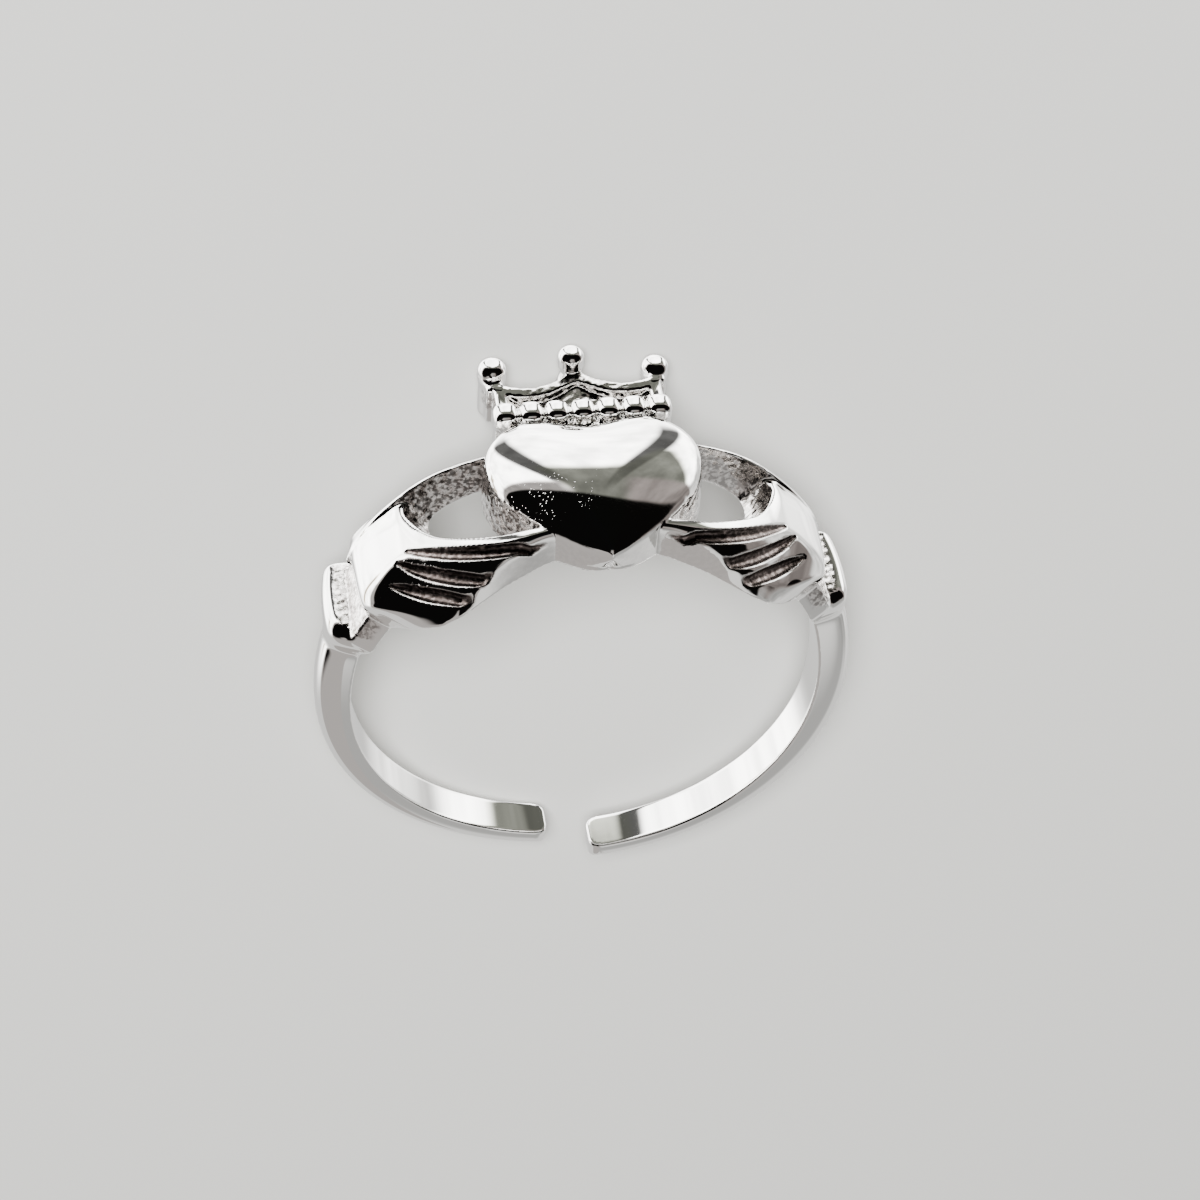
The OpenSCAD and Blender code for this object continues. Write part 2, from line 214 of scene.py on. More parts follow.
finger_front = smooth_column(FINGER_ROWS, 1)
finger_back = smooth_column(FINGER_ROWS, 2)
finger_rise = smooth_column(FINGER_ROWS, 3)
knuckle_line = smooth_column(KNUCKLES, 1)
knuckle_slope = smooth_column(KNUCKLES, 2)
facet_width = smooth_column(FRONT_FACET, 1)
thumb_back = smooth_column(THUMB_ROWS, 1)
thumb_width = smooth_column(THUMB_ROWS, 2)
thumb_rise = smooth_column(THUMB_ROWS, 3)

# Distance tools, in millimetres


def join(a, b, k):
    """Union with a fillet of about size k."""
    h = np.maximum(k - np.abs(a - b), 0) / k
    return np.minimum(a, b) - h * h * h * k / 6


def meet(a, b, k):
    """Intersection with its edge rounded to about size k."""
    return -join(-a, -b, k)


def bump_section(q, t, n, half, rise):
    """Distance to a section q^n + t^n = 1 whose axes measure half and rise."""
    q, t = np.maximum(q, 1e-4), np.maximum(t, 1e-4)
    g = (q**n + t**n) ** (1 / n)
    gq, gt = (q / g) ** (n - 1) / half, (t / g) ** (n - 1) / rise
    return (g - 1) / np.sqrt(gq * gq + gt * gt)


def plan_curve(points, steps=6):
    """Smooth curve through a table of places, as two arrays."""
    rows = [(i / (len(points) - 1), p[0], p[1]) for i, p in enumerate(points)]
    at = np.linspace(0, 1, steps * (len(points) - 1) + 1)
    return smooth_column(rows, 1)(at), smooth_column(rows, 2)(at)


def within(mask, part, *args):
    """Works a part out only where the mask is set, and calls the rest far away."""
    out = np.full(mask.shape, FAR)
    out[mask] = part(*(v[mask] for v in args))
    return out


def ease(x, lo, hi, out_lo, out_hi):
    """Smooth step from one value to another as x goes from lo to hi."""
    t = np.clip((x - lo) / (hi - lo), 0, 1)
    return out_lo + (out_hi - out_lo) * t * t * (3 - 2 * t)


def between(v, lo, hi, soft):
    """1 between two limits, falling to 0 at them over the length soft."""
    return np.clip((v - lo) / soft, 0, 1) * np.clip((hi - v) / soft, 0, 1)


def block(x, y, z, lo, hi, k):
    """Rounded box between two corners."""
    c, h = (np.array(lo) + hi) / 2, (np.array(hi) - lo) / 2 - k
    q = [np.abs(p - m) - s for p, m, s in zip((x, y, z), c, h)]
    out = np.sqrt(sum(np.maximum(p, 0) ** 2 for p in q))
    return out + np.minimum(np.maximum(np.maximum(q[0], q[1]), q[2]), 0) - k


def rounded(a, b, k):
    """Intersection of two distances with a round edge of radius k."""
    return np.hypot(np.maximum(a + k, 0), np.maximum(b + k, 0)) + np.minimum(
        np.maximum(a, b) + k, 0) - k


def outline_distance(ax, y, px, py):
    """Signed distance in the plane to an outline, below 0 inside. The outline starts and
    ends at the side where ax is least, and is taken as closed there."""
    best = np.full(ax.shape, 1e9)
    inside = np.zeros(ax.shape, bool)
    for x0, y0, x1, y1 in zip(px[:-1], py[:-1], px[1:], py[1:]):
        ex, ey = x1 - x0, y1 - y0
        h = np.clip(((ax - x0) * ex + (y - y0) * ey) / (ex * ex + ey * ey), 0, 1)
        best = np.minimum(best, (ax - x0 - h * ex) ** 2 + (y - y0 - h * ey) ** 2)
        crosses = (y0 > y) != (y1 > y)
        inside ^= crosses & (ax < x0 + (y - y0) / (ey if abs(ey) > 1e-9 else 1e-9) * ex)
    return np.where(inside, -1, 1) * np.sqrt(best)


def wrap(q):
    """Places (angle, along the finger, radius) as X, Y, Z."""
    return np.stack([q[..., 2] * np.sin(np.radians(q[..., 0])), q[..., 1],
                     q[..., 2] * np.cos(np.radians(q[..., 0]))], -1)


# Parts of the ring. ax is |x|, a the angle from the top in degrees, r the radius. A factor
# just below 1 keeps the value of a sloping or curved face close to a distance


def down(a):
    """How far down the hoop a place is: 0 just below the cuff, 1 at the open foot."""
    top = math.cos(math.radians(CUFF_ANGLE + 6))
    return np.maximum(0, (top - np.cos(np.radians(a))) / (top + 1))


def band(x, y, a, r):
    """The half hoops. Their free ends part along the finger: the left one lies towards the
    crown, the right one away from it."""
    d = down(a)
    side = np.where(x < 0, -1.0, 1.0)
    mid = BAND_SETBACK * (1 - d) ** 4 - side * END_OFFSET * d
    half = (BAND_W + (BAND_END_W - BAND_W) * d) / 2
    rise = BAND_T - 0.02 + (BAND_END_T - BAND_T) * d * d
    # a half superellipse: flat towards the finger, crowned outside
    q, t = np.maximum(np.abs(y - mid) / half, 1e-4), np.maximum((r - BORE_R) / rise, 1e-4)
    g = (q**BAND_ACROSS + t**BAND_UP) ** (1 / 3)
    gq = BAND_ACROSS * q ** (BAND_ACROSS - 1) / half / (3 * g * g)
    gt = BAND_UP * t ** (BAND_UP - 1) / rise / (3 * g * g)
    section = (g - 1) / np.sqrt(gq * gq + gt * gt + 1e-6)
    # rounded corners at the free end
    end = math.pi * BORE_R - (END_GAP / 2 - side * GAP_SHIFT)
    u = np.radians(a) * BORE_R - (end - END_ROUND)
    v = np.abs(y - mid) - (half - END_ROUND)
    corner = np.hypot(np.maximum(u, 0), np.maximum(v, 0)) - END_ROUND
    corner = np.where((u > 0) & (v > 0), corner, u - END_ROUND)
    section = meet(section, corner, FILLET["band end"])
    return np.maximum(section, np.radians(CUFF_ANGLE + 0.5 - a) * r)


def cuff(y, a, r, x):
    """The flared cuffs. u is the way from the cuff's middle down the band, w the height."""
    u = np.radians(a - CUFF_ANGLE) * CUFF_ARC_R
    w = r - BORE_R
    rim_back = CUFF_MID + ease(u, -0.1, CUFF_LEN, CUFF_RIM, CUFF_END_BACK) * CUFF_W
    foot_front = CUFF_MID - ease(u, -0.5, 1.35, CUFF_FOOT, CUFF_END) * CUFF_W
    rim_front = CUFF_MID - ease(u, -0.1, 1.4, CUFF_RIM, CUFF_END) * CUFF_W
    front = foot_front + (rim_front - foot_front) * np.clip(w / (0.8 * CUFF_H), 0, 1)
    # the rim is barrel-shaped along the finger and rounded over to the band
    along = (y - CUFF_MID + 0.1) / (0.5 * CUFF_W)
    top = CUFF_H + np.where(x > 0, 0.05, 0.0) - 0.16 * along**2
    over = (w - top + np.maximum(u + 0.15, 0) ** 2 * 0.40) * 0.9
    # its face towards the hand leans outwards
    face = -(u + 0.50 - (w - 1.0) * 0.45) * 0.91
    d = meet(over, face, 0.42)
    d = meet(d, (front - y) * 0.95, 0.9)
    d = meet(d, (y - rim_back) * 0.95, 0.5)
    return meet(d, u - CUFF_LEN, 0.3)


def wrist(y, a, r):
    """The sunk wrists between the hands' heels and the cuffs."""
    to_hand, to_cuff = (np.radians(lim - a) * r for lim in (HEEL_ANGLE - 2.5, CUFF_ANGLE - 0.8))
    front, back = CUFF_MID - CUFF_FOOT * CUFF_W, CUFF_MID + CUFF_END * CUFF_W
    slope = 0.40 * (r - BORE_R)
    side = meet((front + slope - y) * 0.93, y - back, 0.1)
    d = meet(side, r - (BORE_R + WRIST_H), 0.34)
    return meet(np.maximum(d, to_hand), -to_cuff, 0.4)


def fingers(y, a, r):
    """The bars of fingers with the backs of the hands, without grooves."""
    s = (a - FINGER_FROM) / (HEEL_ANGLE - FINGER_FROM)
    front, back = finger_front(s) * FINGER_REACH, finger_back(s) * THUMB_REACH
    rise = finger_rise(s) * HAND_H
    peak = front + 0.7 * (back - front)
    t = (r - BORE_R) / rise
    near = bump_section((peak - y) / (peak - front), t, 4.0, peak - front, rise)
    # the fingers slope from the knuckles to a steeper facet along their front
    w = r - BORE_R
    knuckle = knuckle_line(a)
    fall = np.tan(np.radians(knuckle_slope(a)))
    slope = (w - KNUCKLE_H * rise + (knuckle - y) * fall) / np.hypot(1, fall)
    wide = facet_width(a)
    foot = KNUCKLE_H * rise - np.maximum(knuckle - front - wide, 0) * fall
    facet = (w * wide - (y - front) * foot) / np.hypot(foot, wide)
    near = meet(meet(near, slope, 0.14), facet, 0.18)
    far = np.maximum(r - BORE_R - rise * (1 - 0.05 * np.clip(y - peak, 0, 2) ** 2), y - 2.4)
    d = np.where(y < peak, near, far)
    # the heel leans away from the wrist towards its top
    w = np.maximum(w, 0) / HAND_H
    heel = np.radians(a - (HEEL_ANGLE + 1.2 - 3.6 * w**2.5 + 0.55 * (y - 1))) * r
    start = np.radians(FINGER_FROM - a) * r
    return np.maximum(meet(d, heel, 0.7), start)


def thumb(y, a, r):
    """The thumbs, along the back of the openings. q is the share of the way across one."""
    s = (a - THUMB_FROM) / (HEEL_ANGLE - THUMB_FROM)
    back = thumb_back(s) * THUMB_REACH
    wide = THUMB_W * thumb_width(s)
    front = back - wide
    q = np.clip((y - front) / wide, -0.5, 1.5)
    # the top falls to the back as a power of q, and 1.43 is that power's slope
    top = thumb_rise(s) * HAND_H * (1 - 0.65 * np.maximum(q, 0) ** 2.2)
    slope = 1 / np.sqrt(1 + (1.43 * HAND_H / THUMB_W * np.clip(q, 0, 1) ** 1.2) ** 2)
    over = (r - BORE_R - top) * slope
    d = meet(meet(over, front - y, 0.14), y - back, 0.12)
    heel = np.radians(a - (HEEL_ANGLE + 1.2)) * r
    start = np.radians(THUMB_FROM - a) * r
    return np.maximum(meet(d, heel, 0.5), start)


opening_angle, opening_y = plan_curve(OPENING)


def opening(y, a):
    """Distance in plan to the opening between the fingers and the thumb."""
    rim = np.radians(opening_angle) * OPENING_ARC_R
    return outline_distance(np.radians(a) * OPENING_ARC_R, y, rim, opening_y)


def surface_radius(angle, y):
    """Where the plain finger bar's surface lies above the bore at one place."""
    r = np.linspace(BORE_R + 0.1, BORE_R + 1.2 * HAND_H, 200)
    d = fingers(np.full(len(r), y), np.full(len(r), angle), r)
    inside = np.nonzero(d < 0)[0]
    return r[inside[-1]] if len(inside) else BORE_R + 0.5


def groove_chain(path):
    """Places and radii along one trough, which swells between its pointed ends."""
    t = np.linspace(0, 1, GROOVE_STEPS)
    rows = [(s, p[0], p[1]) for s, p in zip(np.linspace(0, 1, len(path)), path)]
    angle, along = smooth_column(rows, 1)(t), smooth_column(rows, 2)(t)
    # the places lie on the fingers' surface
    rad = np.array([surface_radius(g, v) for g, v in zip(angle, along)])
    rad = np.maximum(rad, BORE_R + np.interp(angle, TROUGH_ANGLES, TROUGH_H))
    swell = np.sin(np.pi * np.clip(t, 0.02, 0.98)) ** 0.55
    return wrap(np.stack([angle, along, rad], -1)), GROOVE_W * 0.56 * swell


groove_chains = [groove_chain(path) for path in GROOVES]


def groove_cut(ax, y, z):
    """Distance into the troughs between the fingers: chains of cones along each path."""
    best = np.full(ax.shape, 9.0)
    for places, size in groove_chains:
        for i in range(GROOVE_STEPS - 1):
            p, e = places[i], places[i + 1] - places[i]
            dx, dy, dz = ax - p[0], y - p[1], z - p[2]
            h = np.clip((dx * e[0] + dy * e[1] + dz * e[2]) / (e @ e), 0, 1)
            dist = np.sqrt((dx - h * e[0]) ** 2 + (dy - h * e[1]) ** 2 + (dz - h * e[2]) ** 2)
            best = np.minimum(best, dist - (size[i] + h * (size[i + 1] - size[i])))
    return best


def heart_outline():
    """Half of the heart's outline, from its point to its notch."""
    s = np.linspace(0, 1, 73)
    px = smooth_column(HEART_HALF, 1)(s) * HEART_W / 2
    py = smooth_column(HEART_HALF, 2)(s) * HEART_L - HEART_POINT
    return px, py


heart_plan = heart_outline()


class Puff:
    """The heart's face: a film blown up over the outline, found by relaxing a grid."""

    step, margin = 0.06, 0.3
    relaxations, smoothings = 2500, 6

    def __init__(self):
        step, margin = self.step, self.margin
        self.x0, self.y0 = -HEART_W / 2 - margin, -HEART_POINT - margin
        nx, ny = (int((size + 2 * margin) / step) + 1 for size in (HEART_W, HEART_L))
        gx = self.x0 + np.arange(nx) * step
        gy = self.y0 + np.arange(ny) * step
        mx, my = np.meshgrid(gx, gy, indexing="ij")
        d = outline_distance(np.abs(mx), my, *heart_plan)
        free = d < 0
        u = np.maximum(-d, 0)
        for _ in range(self.relaxations):
            u[1:-1, 1:-1] = np.where(
                free[1:-1, 1:-1],
                (u[:-2, 1:-1] + u[2:, 1:-1] + u[1:-1, :-2] + u[1:-1, 2:] + step**2) / 4,
                0,
            )
        u = u / u.max()
        height = HEART_DOME_H * (0.55 * u**0.5 + 0.45 * u)
        # carry the face on past the outline so that its edge isn't stepped
        edge = np.maximum(d + step, 0)
        height = np.where(d > -step, height - 0.6 * edge, height)
        for _ in range(self.smoothings):
            height[1:-1, 1:-1] = (
                4 * height[1:-1, 1:-1] + height[:-2, 1:-1] + height[2:, 1:-1]
                + height[1:-1, :-2] + height[1:-1, 2:]
            ) / 8
        self.height = height

    def __call__(self, x, y):
        """Quadratic B-spline over the grid, so that the face's slope is smooth."""
        u = np.clip((x - self.x0) / self.step, 1, self.height.shape[0] - 2.001)
        v = np.clip((y - self.y0) / self.step, 1, self.height.shape[1] - 2.001)
        i, j = np.round(u).astype(int), np.round(v).astype(int)
        fu, fv = u - i, v - j
        wu = [0.5 * (0.5 - fu) ** 2, 0.75 - fu**2, 0.5 * (0.5 + fu) ** 2]
        wv = [0.5 * (0.5 - fv) ** 2, 0.75 - fv**2, 0.5 * (0.5 + fv) ** 2]
        out = 0
        for m in range(3):
            for n in range(3):
                out = out + wu[m] * wv[n] * self.height[i + m - 1, j + n - 1]
        return out


puff = Puff()


def heart(x, y, z, ax):
    """The puffed heart, down to the bore."""
    flat = outline_distance(ax, y, *heart_plan)
    # walls flare slightly towards the finger
    wall = flat - 0.05 * np.clip(HEART_TOP - z, 0, 1.5)
    # below its rim the point is blunt
    blunt = 2.2 * np.clip((HEART_TOP - 0.2 - z) / 0.7, 0.01, 1)
    near_point = np.maximum(blunt - 1.3 * ax, 0) / blunt * np.clip((-y - 1) / 0.6, 0, 1)
    wall = wall + near_point**3 * blunt / 6
    face = (z - HEART_TOP - puff(x, y)) * 0.85
    return meet(wall, face, 0.14)


def beads(x, y, z):
    """The row of barrel-shaped beads on its rail. Each is worn flat on top."""
    pitch, half = ROW_W / BEAD_COUNT, ROW_W / 2
    top = BORE_R + RAIL_H + 0.04
    i = np.clip(np.round(x / pitch), -(BEAD_COUNT // 2), BEAD_COUNT // 2)
    u = np.abs(x - i * pitch) / (0.475 * pitch * 1.04)
    q, t = np.abs(y - BEAD_Y) / (BEAD_D / 2 + 0.01), np.abs(z - top) / (BEAD_D / 2 - 0.02)
    w = (q**3.2 + t**3.2) ** (1 / 3.2)
    bead = ((u**2.8 + w**2.8) ** (1 / 2.8) - 1) * 0.42
    rail = block(x, y, z, (-half + 0.05, BEAD_Y - 0.34, FOOT),
                 (half - 0.05, BEAD_Y + 0.30, BORE_R + RAIL_H), 0.12)
    return join(bead, rail, 0.08)


def towards_floor(y, z):
    """How far a place reaches towards the floor that the ring lies on."""
    return y * math.cos(TILT) - z * math.sin(TILT)


# Where the crown's balls stand: the middle one reaches as far down as the outer two, and the
# uprights are cut off where the solid touches the floor
POINT_R = BORE_R + POINT_H
OUTER_Z = math.sqrt(POINT_R**2 - (POINTS_SPAN / 2) ** 2)
BALLS_AT = towards_floor(POINT_REACH, OUTER_Z) + POINT_D / 2
MID_Y = (BALLS_AT - MID_POINT_D / 2 + math.sin(TILT) * POINT_R) / math.cos(TILT)
REST_AT = -cad_box[0].z / MM - 0.01
# centre and diameter of each ball: as cast, the three stand slightly unevenly, each moved
# along the floor that they rest on
CROWN_POINTS = [
    (cx + 0.03, cy + math.sin(TILT) * up, cz + math.cos(TILT) * up, dia)
    for cx, cy, cz, dia, up in (
        (-POINTS_SPAN / 2, POINT_REACH - 0.02, OUTER_Z, POINT_D + 0.02, 0.08),
        (POINTS_SPAN / 2 - 0.08, POINT_REACH - 0.02, OUTER_Z, POINT_D - 0.02, -0.14),
        (-0.13, MID_Y - 0.02, POINT_R, MID_POINT_D + 0.08, -0.08),
    )
]


def crown_point(x, y, z, cx, cy, cz, dia):
    """A knob with a flattened top on its stem. The outer stems are carried by a strut, the
    middle one widens towards its foot."""
    side = np.abs(x - cx)
    out = np.hypot(side, y - cy)
    outer = abs(cx) > 1
    knob = rounded(out - dia / 2, np.abs(z - cz) - dia / 2 + 0.10 * out**2 / dia, 0.31 * dia)
    drop = np.clip(cz - 0.32 * dia - z, 0, 1.2)
    stem = out - (0.47 * dia if outer else 0.36 * dia + 0.22 * drop**1.5)
    knob = join(knob, np.maximum(stem, z - cz), 0.10)
    if not outer:
        return knob
    strut = block(side, y, z, (-0.28 * dia, RIM_BACK, FOOT),
                  (0.28 * dia, cy, BORE_R + RIM_H - 0.02), 0.12)
    return join(knob, strut, 0.3)


def crown(x, y, z, ax):
    """The crown with its bead row, its sunk floor and its scalloped rim."""
    px = POINTS_SPAN / 2
    # web to the heart, then the sunk floor and the scalloped rim round it
    web = block(x, y, z, (-0.88 * px, ROW_BACK - 1.6, FOOT),
                (0.88 * px, ROW_BACK, BORE_R + FLOOR_H), 0.05)
    plate = np.maximum(ax - px, np.maximum(ROW_BACK - y, y - POINT_REACH + 0.1))
    scallop = SCALLOP_R - np.hypot(np.hypot(ax, 0.22) - 0.6 * px, y - (RIM_BACK + SCALLOP_R))
    plate = meet(plate, scallop, 0.12)
    # the floor rises towards the three points
    tent = 0.18 * np.clip(1 - ax / 1.3, 0, 1) * np.clip((y - ROW_BACK - 0.3) / 1.1, 0, 1.3)
    lift = FLOOR_H + tent + ease(ax, 0.66 * px, px, 0, 0.42)
    floor = np.maximum(plate, (z - BORE_R - lift) * 0.9)
    inner = join(-(scallop + RIM_T), px - RIM_T - ax, 0.25)
    height = BORE_R + RIM_H - 0.22 * np.clip((RIM_BACK - y) / 1.2, 0, 1)
    rim = meet(meet(plate, inner, 0.12), z - height, 0.14)
    d = join(join(floor, web, 0.1), rim, 0.06)
    for point in CROWN_POINTS:
        d = join(d, crown_point(x, y, z, *point), 0.24)
    d = meet(d, towards_floor(y, z) - REST_AT, 0.08)
    return np.maximum(join(d, beads(x, y, z), 0.1), FOOT - z)


def ring(p):
    """Distance to the whole ring's surface, roughly, for points p in millimetres. Each part
    is worked out in its own zone alone."""
    x, y, z = p.T
    ax = np.abs(x)
    r = np.hypot(x, z)
    a = np.degrees(np.arctan2(ax, z))
    hand = a < HEEL_ANGLE + 8
    d = join(within(hand, fingers, y, a, r), within(hand, thumb, y, a, r), FILLET["thumb"])
    open_zone = (a < 48) & (np.abs(y) < 4.5)
    d = meet(d, -within(open_zone, opening, y, a), FILLET["opening"])
    groove_zone = (a > 8) & (a < 52) & (r > 8) & (y < 1)
    d = meet(d, -within(groove_zone, groove_cut, ax, y, z), FILLET["groove"])
    cuff_zone = (a > HEEL_ANGLE - 8) & (a < CUFF_ANGLE + 18)
    d = join(d, within(cuff_zone, wrist, y, a, r), FILLET["wrist"])
    d = join(d, within(cuff_zone, cuff, y, a, r, x), FILLET["cuff"])
    d = join(d, within(a > CUFF_ANGLE - 6, band, x, y, a, r), FILLET["band"])
    head = (z > 4) & (y < 4.6) & (y > -HEART_POINT - 1.2) & (ax < HEART_W / 2 + 1.2)
    d = join(d, within(head, heart, x, y, z, ax), FILLET["heart"])
    top = (z > 4) & (y > ROW_BACK - 2.4) & (ax < POINTS_SPAN / 2 + 1.5)
    d = join(d, within(top, crown, x, y, z, ax), FILLET["crown"])
    return meet(d, BORE_R - r, FILLET["bore"])


# The mesh


def gradient(p, e=0.01):
    """How fast ring() rises along X, Y and Z."""
    g = np.empty_like(p)
    for k in range(3):
        q = p.copy()
        q[:, k] += e
        hi = ring(q)
        q[:, k] -= 2 * e
        g[:, k] = (hi - ring(q)) / (2 * e)
    return g


def grid_line(*spans):
    """Grid places from spans of (from, to, step), whose count is made a multiple of COARSE."""
    out = []
    for lo, hi, step in spans:
        n = COARSE * max(1, round((hi - lo) / step / COARSE))
        out.append(lo + (hi - lo) * np.arange(n) / n)
    return np.append(np.concatenate(out), spans[-1][1])


def surface(axes, reach):
    """Surface net of ring() on a grid bent round the bore, worked out only near the surface."""
    n = [len(ax) - 1 for ax in axes]
    grid = wrap(np.stack(np.meshgrid(*[ax[::COARSE] for ax in axes], indexing="ij"), -1))
    rough = ring(grid.reshape(-1, 3)).reshape(grid.shape[:3])
    corners = [
        rough[i:rough.shape[0] - 1 + i, j:rough.shape[1] - 1 + j, k:rough.shape[2] - 1 + k]
        for i in (0, 1) for j in (0, 1) for k in (0, 1)
    ]
    low, high = np.minimum.reduce(corners), np.maximum.reduce(corners)

    def fine(v):
        return v.repeat(COARSE, 0).repeat(COARSE, 1).repeat(COARSE, 2)

    value = np.full([m + 1 for m in n], 1.0)
    value[:-1, :-1, :-1] = fine(np.where(high < 0, -1.0, 1.0))
    near = fine((low < reach) & (high > -reach))
    wanted = np.zeros(value.shape, bool)
    for i, j, k in np.ndindex(2, 2, 2):
        wanted[i:i + n[0], j:j + n[1], k:k + n[2]] |= near
    index = np.nonzero(wanted)
    points = wrap(np.stack([ax[i] for ax, i in zip(axes, index)], -1))
    value[index] = np.concatenate([ring(part) for part in np.array_split(points, 12)])
    inside = value < 0
    cell = np.zeros(n, int)
    for i, j, k in np.ndindex(2, 2, 2):
        cell += inside[i:i + n[0], j:j + n[1], k:k + n[2]]
    at = np.stack(np.nonzero((cell > 0) & (cell < 8)), -1)
    number = np.full(n, -1)
    number[tuple(at.T)] = np.arange(len(at))
    # each vertex: the middle of the places where its cell's edges cross the surface
    total, count = np.zeros((len(at), 3)), np.zeros(len(at))
    for axis in range(3):
        for u, v in np.ndindex(2, 2):
            a = np.zeros(3, int)
            a[(axis + 1) % 3], a[(axis + 2) % 3] = u, v
            b = a.copy()
            b[axis] = 1
            va, vb = value[tuple((at + a).T)], value[tuple((at + b).T)]
            cut = (va < 0) != (vb < 0)
            spot = np.tile(a.astype(float), (len(at), 1))
            spot[:, axis] = np.where(cut, va / np.where(cut, va - vb, 1), 0)
            total += spot * cut[:, None]
            count += cut
    place = at + total / count[:, None]
    bent = [np.interp(place[:, k], np.arange(n[k] + 1), axes[k]) for k in range(3)]
    quads = []
    for axis in range(3):
        o1, o2 = (axis + 1) % 3, (axis + 2) % 3
        here = [slice(None)] * 3
        here[axis] = slice(0, n[axis])
        there = [slice(None)] * 3
        there[axis] = slice(1, n[axis] + 1)
        first = inside[tuple(here)]
        e = np.stack(np.nonzero(first != inside[tuple(there)]), -1)
        around = []
        for u, v in ((1, 1), (0, 1), (0, 0), (1, 0)):
            c = e.copy()
            c[:, o1] -= u
            c[:, o2] -= v
            around.append(number[tuple(c.T)])
        q = np.stack(around, -1)
        out = first[tuple(e.T)]
        quads.append(np.where(out[:, None], q, q[:, ::-1]))
    return wrap(np.stack(bent, -1)), np.concatenate(quads)


def settle(verts, step, rounds=4):
    """Moves each vertex onto the surface along the gradient."""
    for _ in range(rounds):
        g = gradient(verts)
        size = np.maximum((g * g).sum(1), 0.05)
        move = -(ring(verts) / size)[:, None] * g
        length = np.linalg.norm(move, axis=1)
        move *= np.minimum(1, 0.5 * step / np.maximum(length, 1e-9))[:, None]
        verts = verts + move
    g = gradient(verts)
    return verts, g / np.linalg.norm(g, axis=1)[:, None]


def finish_masks(p, normal):
    """How far each place was left as cast, is tarnished, is pitted, and is grained, from 0
    to 1."""
    x, y, z = p.T
    ax = np.abs(x)
    r = np.hypot(x, z)
    a = np.degrees(np.arctan2(ax, z))
    w = r - BORE_R
    radial = normal[:, 0] * x / r + normal[:, 2] * z / r
    # the sunk wrist and the cuff's inner face
    neck = 0.7 * between(a, 57.5, 66.3, 0.8) * between(w, 0.25, 1.35, 0.15)
    # inner walls of the hands' openings, less on the right
    upright = np.clip((0.55 - np.abs(radial)) / 0.2, 0, 1)
    palm = between(a, 15, 44, 1) * between(y, -1.8, 2.6, 0.1) * upright
    palm = palm * np.where(x > 0, 0.55, 1.0)
    # the heart's walls, except where they face the front
    towards_front = np.clip((-normal[:, 1] - 0.4) / 0.3, 0, 1)
    head = 0.4 * between(a, -1, 28, 1) * upright * np.clip((HEART_TOP - 0.15 - z) / 0.15, 0, 1)
    head = head * (1 - 0.85 * towards_front) * (y < ROW_BACK - 0.5)
    # the crown's floor and rim
    inside = (y > ROW_BACK - 1.5) & (ax < POINTS_SPAN / 2 - 0.1)
    floor = 0.3 * inside * np.clip((BORE_R + FLOOR_H + 0.12 - z) / 0.1, 0, 1)
    rim = 0.45 * between(y, ROW_BACK + 0.45, 5.9, 0.1) * between(w, 0.6, 1.25, 0.1)
    outside = (z > 4) & (w > 0.02)
    cast = np.where(outside, np.maximum.reduce([neck, palm, head, floor, rim]), 0)
    # the grain is finer beyond the heel and in the grooves
    groove = np.clip((0.06 - groove_cut(ax, y, z)) / 0.04, 0, 1) * (a < 50)
    grained = np.maximum(cast * np.where(a > HEEL_ANGLE - 1, 0.55, 1.0), 0.1 * groove)
    # pits: the heart's face low on one side, and the band beside the cuffs
    spot = np.exp(-(((x + 1.9) / 1.7) ** 4 + ((y + 0.75) / 1.0) ** 4)) * (z > HEART_TOP - 0.2)
    beside = np.exp(-(((a - 74) / 4) ** 2))
    return cast, groove, np.maximum(spot, 0.5 * beside), grained


def grain(p):
    """Height of the cast skin's grain, between about -1 and 1: a sum of plane waves."""
    draw = np.random.default_rng(7)
    way = draw.normal(size=(28, 3))
    way /= np.linalg.norm(way, axis=1)[:, None]
    turns = 2 * np.pi / draw.uniform(0.24, 0.5, 28)
    phase = draw.uniform(0, 2 * np.pi, 28)
    return sum(np.sin(p @ w * k + f) for w, k, f in zip(way, turns, phase)) / math.sqrt(28)


def roughen(verts, normal, depth):
    """Raises the grain on the surface, and turns the normals with it."""
    e = 0.01
    rise = grain(verts)
    slope = np.stack(
        [(grain(verts + e * np.eye(3)[k]) - rise) / e for k in range(3)], -1
    ) * depth[:, None]
    slope -= (slope * normal).sum(1)[:, None] * normal
    tilted = normal - slope
    return (
        verts + (rise * depth)[:, None] * normal,
        tilted / np.linalg.norm(tilted, axis=1)[:, None],
    )


